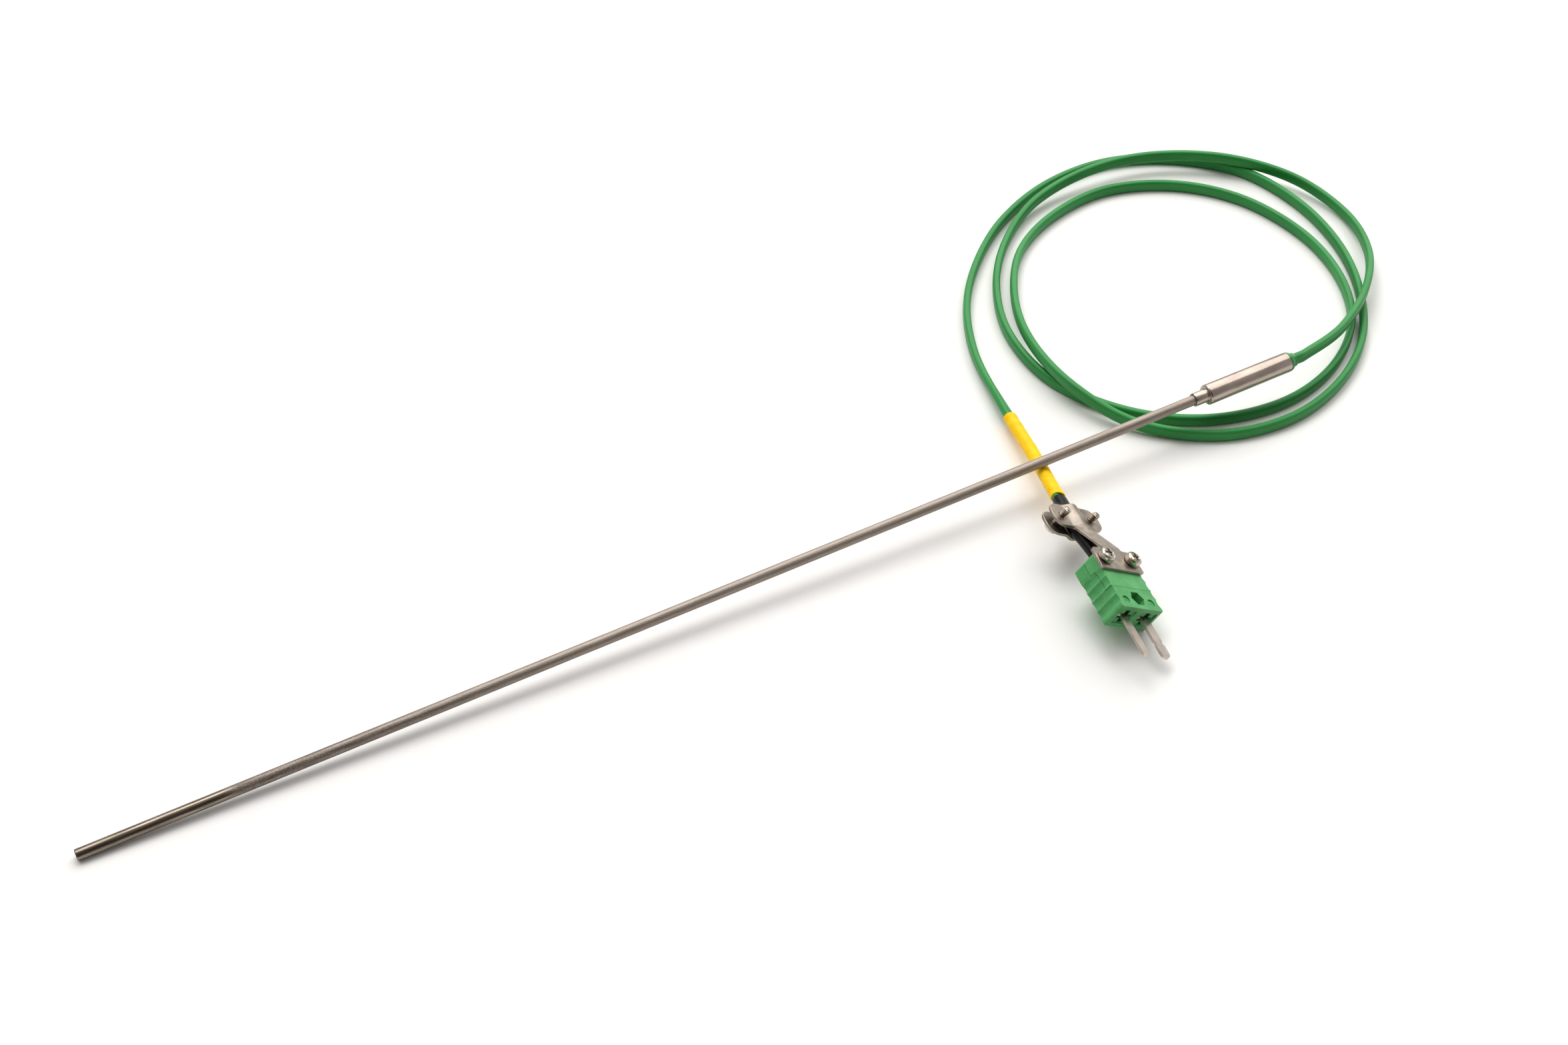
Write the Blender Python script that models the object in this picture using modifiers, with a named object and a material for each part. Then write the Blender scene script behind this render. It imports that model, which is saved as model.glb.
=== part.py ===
"""Mineral insulated thermocouple probe with a potted joint, a flat twin lead and a miniature plug.

The probe lies along +X on the surface z = 0, its closed tip at -X. Its pot end is raised a little,
because the sheath rests on the lead's marker sleeve. Lengths are written in millimetres and
multiplied by MM. The probe's own pieces hang on an empty whose local +Z runs from tip to pot. The
plug's pieces hang on an empty at the middle of the plug's rear face: local X across the plug,
local Y away from its blades, local Z towards its top.
"""
from math import cos, sin, pi, radians, tan

import bmesh
import bpy
from mathutils import Vector

MM = 0.001

# Probe, distances measured from the tip along the probe's axis
SHEATH_R = 1.5
SHEATH_WALL = 0.35
TIP_WALL = 0.8
SHEATH_SHOWN = 324.3
SHEATH_INSERTED = 9.0
PROBE_TILT = radians(1.82)
NECK_R = 2.03
NECK_LENGTH = 4.4
BARREL_R = 3.05
BARREL_WALL = 0.5
POT_END = SHEATH_SHOWN + 33.4
SEAL_END = POT_END + 2.7
ELEMENT_R = 0.2
ELEMENT_OFFSET = 0.5
SPLICE_OFFSET = 0.95
SPLICE_START = 338.0
SPLICE_END = 346.0
RESIN_START = 335.8
RESIN_END = 353.6
SEAL_START = 353.9
LEAD_START = 356.5
FIT_GAP = 0.1

# Lead cable and the sleeves on it, lengths measured from the lead's end in the plug
LEAD_R = 1.5
SLEEVE_BORE_R = 1.65
SLEEVE_R = 2.1
STRAIN_SLEEVE = (0.6, 29.8)
MARKER_SLEEVE = (30.8, 72.4)
FINE_LENGTH = 70.0
POT_FINE_LENGTH = 13.0
FINE_STEP = 5.0
COARSE_STEP = 15.0

# Plug
PLUG_W = 15.9
PLUG_L = 18.5
PLUG_T = 7.85
PLUG_ORIGIN = (84.7, -41.0, 9.58)
PLUG_YAW = radians(-7.54)
PLUG_PITCH = radians(6.23)
PLUG_ROLL = radians(32.26)
BLADE_X = 3.96
BLADE_OUT = 13.0
BLADE_T = 0.8
BLADE_STOP_X = 2.1
BLADE_STOP_Y = (-17.95, -15.8)
POSITIVE_WIDTH = 2.4
NEGATIVE_WIDTH = 3.2
PAD_Y = (-9.9, -5.2)
TERMINAL_Y = -7.5
PLATE_SCREW = (5.2, -2.2)
SEAM_GAP = 0.12
CAVITY_X = 6.3
CAVITY_Y = (-10.6, -4.4)
CAVITY_Z = (-0.7, 3.05)
ENTRY_R = 2.4

# Cable clamp
CLAMP_T = 0.8
CLAMP_Y = 16.8
CLAMP_SCREW_X = 5.7
CLAMP_SCREW_R = 1.1
CLAMP_SCREW_PITCH = 0.45
JAW_Y = (13.0, 21.1)
JAW_HALF_WIDTH = 9.2
EAR_CORNER = 3.2
HUMP_HALF_WIDTH = 3.8
UPPER_EAR_Z = 0.1
UPPER_HUMP = 1.25
LOWER_EAR_Z = -3.1
LOWER_HUMP = -1.15
PLATE_Z = PLUG_T / 2 + 0.1 + CLAMP_T / 2
STRAP_W = 6.8
STRAP_Y = (2.4, 13.4)
LEAD_DIP = -1.25

# The lead's route from pot to plug, in the object's own frame
ROUTE = [
    (186, 1.2, 12.0), (206, 8.6, 8.5), (226.5, 21.5, 6.4), (242.5, 38.5, 4.6), (251.5, 60.5, 2.4),
    (247.5, 83, 3.9), (232, 101, 5.8), (210.5, 113.5, 5.8), (187, 116.5, 5.6), (163.5, 112.5, 3.4),
    (144, 99.5, 1.9), (129, 81, 1.9), (120, 59, 1.9), (120, 35, 1.9), (131.5, 13.5, 1.9),
    (150.5, -0.5, 1.9), (174, -5, 1.9), (197, 0.5, 1.9), (216.5, 14.5, 1.9), (228.5, 34.5, 1.9),
    (232.5, 58, 1.9), (227, 82.5, 1.9), (212, 100, 1.9), (190, 108.5, 1.9), (166.5, 105, 1.9),
    (146, 93.5, 1.9), (131.5, 74.5, 2.6), (122, 51.5, 5.1), (121, 27.5, 5.6), (130.5, 7, 2.7),
    (149.5, -7.5, 1.9), (172.5, -11.5, 1.9), (195.5, -5.5, 1.9), (215.5, 8, 1.9), (230.5, 28, 1.9),
    (239.5, 50, 1.9), (242, 73.5, 1.9), (236.5, 96.5, 1.9), (220, 113.5, 1.9), (198, 122, 1.9),
    (174, 120.5, 1.9), (151, 111, 1.9), (132, 96.5, 1.9), (116.5, 78.5, 1.9), (106, 57, 1.9),
    (100.5, 33.5, 2.7), (95.9, 11, 4.5), (90.2, -8.8, 8.2),
]


# ---------------------------------------------------------------- scene helpers

def clear_scene():
    for obj in list(bpy.data.objects):
        bpy.data.objects.remove(obj, do_unlink=True)


def collection(name):
    made = bpy.data.collections.new(name)
    bpy.context.scene.collection.children.link(made)
    return made


def material(name, colour, roughness, metallic):
    made = bpy.data.materials.new(name)
    made.use_nodes = True
    shader = made.node_tree.nodes["Principled BSDF"]
    shader.inputs["Base Color"].default_value = (*colour, 1.0)
    shader.inputs["Roughness"].default_value = roughness
    shader.inputs["Metallic"].default_value = metallic
    made.diffuse_color = (*colour, 1.0)
    return made


def add_object(name, data, parent, look=None):
    """Link a new object; without a look it is a cutter, kept out of the model."""
    obj = bpy.data.objects.new(name, data)
    obj.parent = parent
    if look is None:
        CUTTERS.objects.link(obj)
        obj.hide_render = True
        obj.display_type = "WIRE"
    else:
        PARTS.objects.link(obj)
        data.materials.append(look)
    return obj


def empty(name, location, rotation, order="XYZ"):
    obj = bpy.data.objects.new(name, None)
    obj.rotation_mode = order
    obj.rotation_euler = rotation
    obj.location = Vector(location) * MM
    PARTS.objects.link(obj)
    return obj


def cut(target, cutters, operation="DIFFERENCE"):
    for cutter in cutters:
        modifier = target.modifiers.new(cutter.name[:40], "BOOLEAN")
        modifier.operation = operation
        modifier.solver = "EXACT"
        modifier.object = cutter


def bevel(obj, width, segments=2, angle=35.0):
    modifier = obj.modifiers.new("edges", "BEVEL")
    modifier.width = width * MM
    modifier.segments = segments
    modifier.limit_method = "ANGLE"
    modifier.angle_limit = radians(angle)
    modifier.harden_normals = False


# ---------------------------------------------------------------- shape helpers

def turned(name, profile, steps, parent, look=None, at=(0, 0)):
    """Turn (radius, height) pairs about local Z; a profile clear of the axis closes on itself."""
    count = len(profile)
    edges = [(i, i + 1) for i in range(count - 1)]
    if profile[0][0] > 0 and profile[-1][0] > 0:
        edges.append((count - 1, 0))
    mesh = bpy.data.meshes.new(name)
    mesh.from_pydata([(r * MM, 0, h * MM) for r, h in profile], edges, [])
    obj = add_object(name, mesh, parent, look)
    obj.location = Vector((at[0], at[1], 0)) * MM
    modifier = obj.modifiers.new("turn", "SCREW")
    modifier.axis = "Z"
    modifier.steps = steps
    modifier.render_steps = steps
    modifier.use_merge_vertices = True
    modifier.merge_threshold = 0.000001
    modifier.use_smooth_shade = True
    return obj


def rod_profile(radius, low, high, edge=0.0):
    """A solid rod's profile, top to bottom, with an optional chamfer at its top edge."""
    top = [(radius - edge, high), (radius, high - edge)] if edge else [(radius, high)]
    return [(0, high), *top, (radius, low), (0, low)]


def ring_profile(outer, bore, low, high):
    return [(bore, high), (outer, high), (outer, low), (bore, low)]


def rounded(corners, pieces=5):
    """Corners (x, y, radius) of a closed outline, each turned into an arc of short pieces."""
    points = []
    count = len(corners)
    for i, (x, y, radius) in enumerate(corners):
        here = Vector((x, y))
        if radius == 0:
            points.append(here)
            continue
        back = (Vector(corners[i - 1][:2]) - here).normalized()
        ahead = (Vector(corners[(i + 1) % count][:2]) - here).normalized()
        half = back.angle(ahead) / 2
        reach = radius / tan(half)
        centre = here + (back + ahead).normalized() * (radius / sin(half))
        start = here + back * reach - centre
        stop = here + ahead * reach - centre
        sweep = start.angle_signed(stop)
        for j in range(pieces + 1):
            turn = -sweep * j / pieces
            points.append(centre + Vector((start.x * cos(turn) - start.y * sin(turn),
                                           start.x * sin(turn) + start.y * cos(turn))))
    return points


def circle(x, y, radius, pieces=20):
    return [Vector((x + radius * cos(2 * pi * i / pieces), y + radius * sin(2 * pi * i / pieces)))
            for i in range(pieces)]


def mesh_of_curve(curve_object):
    """The welded mesh of a curve object, which is removed."""
    bpy.context.view_layer.update()
    evaluated = curve_object.evaluated_get(bpy.context.evaluated_depsgraph_get())
    mesh = bpy.data.meshes.new_from_object(evaluated)
    mesh.materials.clear()
    work = bmesh.new()
    work.from_mesh(mesh)
    bmesh.ops.remove_doubles(work, verts=work.verts, dist=0.000001)
    bmesh.ops.recalc_face_normals(work, faces=work.faces)
    work.to_mesh(mesh)
    work.free()
    bpy.data.objects.remove(curve_object, do_unlink=True)
    return mesh


def outline_mesh(name, loops, low, high):
    """A flat outline with holes, filled from low to high along local Z (flat if they are equal)."""
    data = bpy.data.curves.new(name, "CURVE")
    data.dimensions = "2D"
    data.fill_mode = "BOTH" if high > low else "FRONT"
    data.extrude = (high - low) / 2 * MM
    for loop in loops:
        spline = data.splines.new("POLY")
        spline.points.add(len(loop) - 1)
        for point, place in zip(spline.points, loop):
            point.co = (place.x * MM, place.y * MM, 0, 1)
        spline.use_cyclic_u = True
    guide = bpy.data.objects.new(name, data)
    CUTTERS.objects.link(guide)
    mesh = mesh_of_curve(guide)
    for vertex in mesh.vertices:
        vertex.co.z += (high + low) / 2 * MM
    return mesh


def outline(name, loops, low, high, parent, look=None):
    return add_object(name, outline_mesh(name, loops, low, high), parent, look)


def box(name, x, y, z, parent):
    """A cutter between the given pairs of limits."""
    mesh = bpy.data.meshes.new(name)
    work = bmesh.new()
    bmesh.ops.create_cube(work, size=1.0)
    work.to_mesh(mesh)
    work.free()
    obj = add_object(name, mesh, parent)
    obj.location = Vector((sum(x), sum(y), sum(z))) / 2 * MM
    obj.scale = Vector((x[1] - x[0], y[1] - y[0], z[1] - z[0])) * MM
    return obj


def drill(name, x, y, radius, z, parent, sides=20):
    """A round cutter along local Z between the given pair of heights."""
    mesh = bpy.data.meshes.new(name)
    work = bmesh.new()
    bmesh.ops.create_cone(work, cap_ends=True, segments=sides, radius1=radius * MM,
                          radius2=radius * MM, depth=(z[1] - z[0]) * MM)
    work.to_mesh(mesh)
    work.free()
    obj = add_object(name, mesh, parent)
    obj.location = Vector((x, y, sum(z) / 2)) * MM
    return obj


def poly_curve(name, points, radius, resolution, caps=True):
    data = bpy.data.curves.new(name, "CURVE")
    data.dimensions = "3D"
    data.bevel_depth = radius * MM
    data.bevel_resolution = resolution
    data.use_fill_caps = caps
    spline = data.splines.new("POLY")
    spline.points.add(len(points) - 1)
    for point, place in zip(spline.points, points):
        point.co = (*(Vector(place) * MM), 1)
        point.radius = 1.0
    return data


def wire(name, points, radius, parent, look, resolution=2):
    """A round wire or cable through the given points."""
    return add_object(name, poly_curve(name, points, radius, resolution), parent, look)


def smooth_points(corners, per_span):
    """Catmull-Rom curve through the corners."""
    ends = [corners[0] * 2 - corners[1], *corners, corners[-1] * 2 - corners[-2]]
    points = []
    for i in range(1, len(ends) - 2):
        a, b, c, d = ends[i - 1:i + 3]
        for j in range(per_span):
            t = j / per_span
            points.append((b * 2 + (c - a) * t + (a * 2 - b * 5 + c * 4 - d) * t * t
                           + (b * 3 - a - c * 3 + d) * t ** 3) / 2)
    points.append(corners[-1])
    return points


def at_lengths(points, lengths):
    """Points on a polyline at the given rising lengths from its start."""
    found = []
    walked = 0.0
    index = 0
    for length in lengths:
        while index < len(points) - 2 and walked + (points[index + 1] - points[index]).length < length:
            walked += (points[index + 1] - points[index]).length
            index += 1
        step = points[index + 1] - points[index]
        found.append(points[index] + step * ((length - walked) / step.length))
    return found


def total_length(points):
    return sum((b - a).length for a, b in zip(points, points[1:]))


# ---------------------------------------------------------------- probe

def build_sheath(axis):
    inner = SHEATH_R - SHEATH_WALL
    top = SHEATH_SHOWN + SHEATH_INSERTED
    profile = [(0, TIP_WALL), (inner, TIP_WALL), (inner, top), (SHEATH_R, top), (SHEATH_R, 40.0),
               (SHEATH_R, 0.25), (SHEATH_R - 0.07, 0.07), (SHEATH_R - 0.25, 0), (0, 0)]
    turned("sheath", profile, 36, axis, STEEL_MATT)


def build_insulation(axis):
    radius = SHEATH_R - SHEATH_WALL - FIT_GAP
    start, stop = 2.7, SHEATH_SHOWN + SHEATH_INSERTED - 0.8
    column = turned("mgo_insulation", rod_profile(radius, start, stop), 20, axis, MAGNESIA)
    holes = [drill(f"element_hole_{i}", side * ELEMENT_OFFSET, 0, ELEMENT_R + FIT_GAP,
                   (start - 1, stop + 1), axis, 10) for i, side in enumerate((-1, 1))]
    cut(column, holes)


def build_elements(axis):
    """Two thermoelement wires from the junction to their splices in the pot, and the junction."""
    for name, side, look in (("thermoelement_positive", -1, CHROMEL),
                             ("thermoelement_negative", 1, ALUMEL)):
        straight = side * ELEMENT_OFFSET
        spread = side * SPLICE_OFFSET
        points = [(straight, 0, 2.4), (straight, 0, 332.8), (side * 0.6, 0, 333.8),
                  (side * 0.82, 0, 334.8), (spread, 0, 336.0), (spread, 0, 341.7)]
        wire(name, points, ELEMENT_R, axis, look)
    bead = [(0.85 * sin(pi * i / 8), 1.63 + 0.55 * cos(pi * i / 8)) for i in range(9)]
    bead[0], bead[-1] = (0, 2.18), (0, 1.08)
    turned("hot_junction", bead, 16, axis, WELD)


def build_pot(axis):
    neck_bore = SHEATH_R + 0.2
    bore = BARREL_R - BARREL_WALL
    shoulder = SHEATH_SHOWN + NECK_LENGTH
    profile = [(bore, POT_END - 0.25), (bore + 0.08, POT_END - 0.07), (bore + 0.25, POT_END),
               (BARREL_R - 0.2, POT_END - 0.06), (BARREL_R - 0.06, POT_END - 0.2),
               (BARREL_R, POT_END - 0.45), (BARREL_R, shoulder + 0.75),
               (BARREL_R - 0.06, shoulder + 0.5), (BARREL_R - 0.25, shoulder + 0.25),
               (BARREL_R - 0.6, shoulder + 0.1), (NECK_R + 0.08, shoulder), (NECK_R, shoulder - 0.12),
               (NECK_R, SHEATH_SHOWN + 0.3), (NECK_R - 0.05, SHEATH_SHOWN + 0.08),
               (NECK_R - 0.14, SHEATH_SHOWN), (neck_bore + 0.04, SHEATH_SHOWN + 0.05),
               (neck_bore, SHEATH_SHOWN + 0.2), (neck_bore, shoulder + 0.1), (bore, shoulder + 0.9)]
    turned("pot", profile, 32, axis, STEEL_BRIGHT)


def build_pot_filling(axis):
    """Resin round the joints, and the crimped splices and core tails inside it."""
    resin = turned("potting_resin", rod_profile(2.4, RESIN_START, RESIN_END), 20, axis, RESIN)
    sides = (("positive", -SPLICE_OFFSET, CORE_GREEN), ("negative", SPLICE_OFFSET, CORE_WHITE))
    cut(resin, [drill(f"splice_channel_{name}", x, 0, 0.85, (RESIN_START - 1, RESIN_END + 1), axis, 12)
                for name, x, _ in sides])
    tail = [(0, LEAD_START - 0.3), (0.5, LEAD_START - 0.3), (0.5, 349.0), (0.25, 349.0),
            (0.25, 342.1), (0, 342.1)]
    for name, x, look in sides:
        turned(f"splice_{name}", ring_profile(0.6, 0.35, SPLICE_START, SPLICE_END), 12, axis, CRIMP,
               (x, 0))
        turned(f"pot_core_{name}", tail, 10, axis, look, (x, 0))


def build_rear_seal(axis):
    """Moulded seal: a plug in the barrel, a soft bulge past its rim and a short collar."""
    inside = BARREL_R - BARREL_WALL - FIT_GAP
    floor = LEAD_START - 0.3
    bore = LEAD_R + 0.3
    profile = [(0, floor), (bore, floor), (bore, SEAL_END - 0.1), (bore + 0.12, SEAL_END),
               (bore + 0.35, SEAL_END - 0.1), (bore + 0.45, SEAL_END - 0.4),
               (bore + 0.5, SEAL_END - 0.95), (2.6, SEAL_END - 1.2), (2.8, SEAL_END - 1.6),
               (2.85, POT_END + 0.6), (2.75, POT_END + 0.25), (inside, POT_END + 0.12),
               (inside, SEAL_START), (0, SEAL_START)]
    seal = turned("rear_seal", profile, 24, axis, RUBBER_GREEN)
    cut(seal, [drill(f"core_hole_{i}", side * SPLICE_OFFSET, 0, 0.65,
                     (SEAL_START - 1, floor + 0.5), axis, 12) for i, side in enumerate((-1, 1))])


# ---------------------------------------------------------------- lead

def lead_path(probe, plug):
    """The lead's line from the plug back to the pot, sampled finely under the sleeves."""
    bpy.context.view_layer.update()
    out = [probe.matrix_world @ (Vector((0, 0, h)) * MM) / MM for h in (LEAD_START, SEAL_END + 1.0)]
    local = [(0, CLAMP_Y + 4.5, LEAD_DIP), (0, CLAMP_Y, LEAD_DIP), (0, CLAMP_Y - 4.5, LEAD_DIP),
             (0, 6, -0.45), (0, 1.5, 0), (0, -2.6, 0)]
    into = [plug.matrix_world @ (Vector(p) * MM) / MM for p in local]
    line = smooth_points(out + [Vector(p) for p in ROUTE] + into, 12)
    line.reverse()
    length = total_length(line)
    lengths = [FINE_STEP * i for i in range(int(FINE_LENGTH / FINE_STEP) + 1)]
    free = length - FINE_LENGTH - POT_FINE_LENGTH
    coarse = round(free / COARSE_STEP)
    lengths += [FINE_LENGTH + free * i / coarse for i in range(1, coarse + 1)]
    lengths += [length - 8.0, length - 4.5, length]
    return at_lengths(line, lengths)


def stretch(points, start, stop):
    """The part of the lead's polyline between two lengths, its own corners kept."""
    walked = [0.0]
    for a, b in zip(points, points[1:]):
        walked.append(walked[-1] + (b - a).length)
    ends = at_lengths(points, [start, stop])
    middle = [p for p, d in zip(points, walked) if start + 0.2 < d < stop - 0.2]
    return [ends[0], *middle, ends[1]]


def build_lead(probe, plug):
    points = lead_path(probe, plug)
    wire("lead_cable", points, LEAD_R, None, CABLE_GREEN)
    for name, limits, look in (("marker_sleeve", MARKER_SLEEVE, SLEEVE_YELLOW),
                               ("strain_sleeve", STRAIN_SLEEVE, SLEEVE_BLACK)):
        data = poly_curve(name, stretch(points, *limits), SLEEVE_R, 4, caps=False)
        guide = bpy.data.objects.new(name, data)
        CUTTERS.objects.link(guide)
        sleeve = add_object(name, mesh_of_curve(guide), None, look)
        shell = sleeve.modifiers.new("wall", "SOLIDIFY")
        shell.thickness = (SLEEVE_R - SLEEVE_BORE_R) * MM
        shell.offset = -1.0


# ---------------------------------------------------------------- plug

def plug_outline():
    """Plan of the plug: plain at the rear, four finger scallops down each side."""
    half, scallops, pitch, depth, first = PLUG_W / 2, 4, 3.05, 0.48, -5.0
    radius = (pitch ** 2 / 4 + depth ** 2) / (2 * depth)
    reach = 2 * (pi / 2 - Vector((pitch / 2, radius - depth)).angle(Vector((1, 0))))
    left = []
    for i in range(scallops):
        middle = first - pitch * (i + 0.5)
        for j in range(6):
            turn = reach * (0.5 - j / 6)
            left.append(Vector((-half - radius + depth + radius * cos(turn),
                                middle + radius * sin(turn))))
    left.append(Vector((-half, first - pitch * scallops)))
    front = rounded([(-half, -10, 0), (-half, -PLUG_L, 0.5), (half, -PLUG_L, 0.5), (half, -10, 0)], 3)
    rear = rounded([(half, -4, 0), (half, 0, 1.0), (-half, 0, 1.0), (-half, -4, 0)], 4)
    right = [Vector((-p.x, p.y)) for p in reversed(left)]
    return rear[1:-1] + left + front[1:-1] + right


def seam_outline(gap):
    """Side view (y, z) of the room that the cover takes, drawn in by the gap."""
    return [Vector(p) for p in ((2, -0.15 + gap), (-4.95 + gap, -0.15 + gap), (-4.95 + gap, 1.35 + gap),
                                (-7.5, 1.65 + gap), (-9.8, 1.65 + gap), (-11.4 + gap, 1.5 + gap),
                                (-11.4 + gap, 6), (2, 6))]


def seam_block(name, gap, plug):
    """The cover's room as a block across the whole plug, turned so that its outline stands in Y Z."""
    block = outline(name, [seam_outline(gap)], -10, 10, plug)
    block.rotation_euler = (pi / 2, 0, pi / 2)
    return block


def plug_shell(name, plug, look):
    shell = outline(name, [plug_outline()], -PLUG_T / 2, PLUG_T / 2, plug, look)
    bevel(shell, 0.25, 2, 50)
    return shell


def inner_cutters(plug):
    """Rooms shared by body and cover: terminal room, wire way, lead entry."""
    entry = drill("entry_cut", 0, 0, ENTRY_R, (-3.2, 3), plug, 24)
    entry.location = (0, -0.1 * MM, 0)
    entry.rotation_euler = (-pi / 2, 0, 0)
    return [box("terminal_room", (-CAVITY_X, CAVITY_X), CAVITY_Y, CAVITY_Z, plug),
            box("wire_way", (-2.9, 2.9), (CAVITY_Y[1] - 0.2, -3.0), (-1.0, CAVITY_Z[1]), plug), entry]


def front_cutters(plug):
    """Recess, cross cavity and slot round each blade."""
    cutters = []
    for name, side, width in (("positive", -1, POSITIVE_WIDTH), ("negative", 1, NEGATIVE_WIDTH)):
        x = side * BLADE_X
        front = -PLUG_L
        cutters += [
            box(f"recess_{name}", (x - 2.8, x + 2.8), (front - 1, front + 0.35), (-2.6, 2.6), plug),
            box(f"cross_upright_{name}", (x - 0.8, x + 0.8), (front - 1, front + 3), (-2.3, 2.3), plug),
            box(f"cross_bar_{name}", (x - 2.35, x + 2.35), (front - 1, front + 3), (-0.85, 0.85), plug),
            box(f"blade_slot_{name}", (x - width / 2 - 0.15, x + width / 2 + 0.15),
                (front + 2.9, CAVITY_Y[0] + 0.1), (-0.55, 0.55), plug),
            drill(f"terminal_hole_{name}", x, TERMINAL_Y, 1.3, (-3.0, 0), plug, 16),
            drill(f"insert_hole_{name}", side * PLATE_SCREW[0], PLATE_SCREW[1], 1.75, (-3.35, 1), plug),
            drill(f"top_mark_{name}", side * 4.9, -15.8, 1.25, (PLUG_T / 2 - 0.35, 5), plug, 24)]
    cutters += [outline("hex_window", [circle(0.1, -14.9, 2.5, 6)], 0.65, 5, plug),
                outline("hex_well", [circle(0.1, -14.9, 1.95, 6)], -3.0, 2, plug)]
    return cutters


def build_plug(plug):
    inner = inner_cutters(plug)
    body = plug_shell("plug_body", plug, PLUG_GREEN)
    cut(body, [seam_block("cover_room", 0, plug), *inner, *front_cutters(plug)])
    cover = plug_shell("plug_cover", plug, COVER_GREEN)
    cut(cover, [seam_block("cover_shape", SEAM_GAP, plug)], "INTERSECT")
    holes = [drill(f"cover_hole_{i}", side * PLATE_SCREW[0], PLATE_SCREW[1], 1.25, (-1, 5), plug)
             for i, side in enumerate((-1, 1))]
    cut(cover, inner + holes)


def blade_outline(width, notched):
    half, tip, pad = width / 2, -PLUG_L - BLADE_OUT, 2.1
    right = [(half, PAD_Y[0] - 0.6, 0), (pad, PAD_Y[0], 0.3), (pad, PAD_Y[1], 0.4)]
    left = [(-x, y, r) for x, y, r in reversed(right)]
    notch = tip + 4.9
    side = [(half, notch - 0.7, 0), (half - 0.4, notch - 0.35, 0), (half - 0.4, notch + 0.35, 0),
            (half, notch + 0.7, 0)] if notched else []
    other = [(-x, y, r) for x, y, r in reversed(side)]
    stop = [(half, BLADE_STOP_Y[0], 0), (BLADE_STOP_X, BLADE_STOP_Y[0], 0),
            (BLADE_STOP_X, BLADE_STOP_Y[1], 0), (half, BLADE_STOP_Y[1], 0)]
    other_stop = [(-x, y, r) for x, y, r in reversed(stop)]
    ends = [(-half, tip, half * 0.98), (half, tip, half * 0.98)]
    return rounded(stop + right + left + other_stop + other + ends + side)


def build_terminals(plug):
    """Blades with their terminal pads, clamp washers, screws and the core ends under them."""
    rows = (("positive", -1, POSITIVE_WIDTH, CHROMEL, CORE_GREEN),
            ("negative", 1, NEGATIVE_WIDTH, ALUMEL, CORE_WHITE))
    for name, side, width, metal, core in rows:
        x = side * BLADE_X
        loops = [blade_outline(width, name == "negative"), circle(0, TERMINAL_Y, 1.15, 16)]
        blade = outline(f"blade_{name}", loops, -BLADE_T / 2, BLADE_T / 2, plug, metal)
        blade.location.x = x * MM
        bevel(blade, 0.1, 1, 50)
        turned(f"terminal_washer_{name}", ring_profile(1.75, 1.15, 1.2, 1.6), 20, plug, BRASS,
               (x, TERMINAL_Y))
        shank = [(0, 2.8), (1.5, 2.8), (1.7, 2.6), (1.7, 1.75), (1.0, 1.75), (1.0, -2.6), (0, -2.6)]
        screw = turned(f"terminal_screw_{name}", shank, 20, plug, BRASS, (x, TERMINAL_Y))
        slot = box(f"terminal_slot_{name}", (x - 2, x + 2), (TERMINAL_Y - 0.25, TERMINAL_Y + 0.25),
                   (2.3, 3.4), plug)
        cut(screw, [slot])
        route = [(0.95, -2.9, 0), (1.1, -3.8, 0.1), (1.5, -4.8, 0.6), (1.9, -5.6, 0.82),
                 (2.3, -6.5, 0.85), (2.55, -7.5, 0.85), (2.6, -8.7, 0.85)]
        wire(f"plug_core_{name}", [(side * px, py, pz) for px, py, pz in route], 0.3, plug, core)


# ---------------------------------------------------------------- cable clamp

def hump(x, height):
    """Height over the ears of the jaw's middle, which rounds over the lead and levels off."""
    return height * (1 + cos(pi * min(abs(x) / HUMP_HALF_WIDTH, 1.0))) / 2


def pressed_sheet(name, loops, lines, height, parent, look):
    """A flat blank cut along x and y lines, pressed to a height, then given its thickness."""
    mesh = outline_mesh(name, loops, 0, 0)
    work = bmesh.new()
    work.from_mesh(mesh)
    for axis, places in enumerate(lines):
        normal = (1, 0, 0) if axis == 0 else (0, 1, 0)
        for place in places:
            middle = (place * MM, 0, 0) if axis == 0 else (0, place * MM, 0)
            parts = work.verts[:] + work.edges[:] + work.faces[:]
            bmesh.ops.bisect_plane(work, geom=parts, dist=0.000001, plane_co=middle, plane_no=normal)
    for vertex in work.verts:
        vertex.co.z = height(vertex.co.x / MM, vertex.co.y / MM) * MM
    bmesh.ops.recalc_face_normals(work, faces=work.faces)
    work.to_mesh(mesh)
    work.free()
    sheet = add_object(name, mesh, parent, look)
    shell = sheet.modifiers.new("thickness", "SOLIDIFY")
    shell.thickness = CLAMP_T * MM
    shell.offset = 0.0
    return sheet


def bracket_height(x, y):
    """Middle of the bracket's sheet: plate on the plug, sloping strap, humped upper jaw."""
    share = min(max((y - STRAP_Y[0]) / (STRAP_Y[1] - STRAP_Y[0]), 0.0), 1.0)
    return PLATE_Z + (UPPER_EAR_Z + hump(x, UPPER_HUMP) - PLATE_Z) * share


def jaw_height(x, y):
    return LOWER_EAR_Z + hump(x, LOWER_HUMP)


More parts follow.
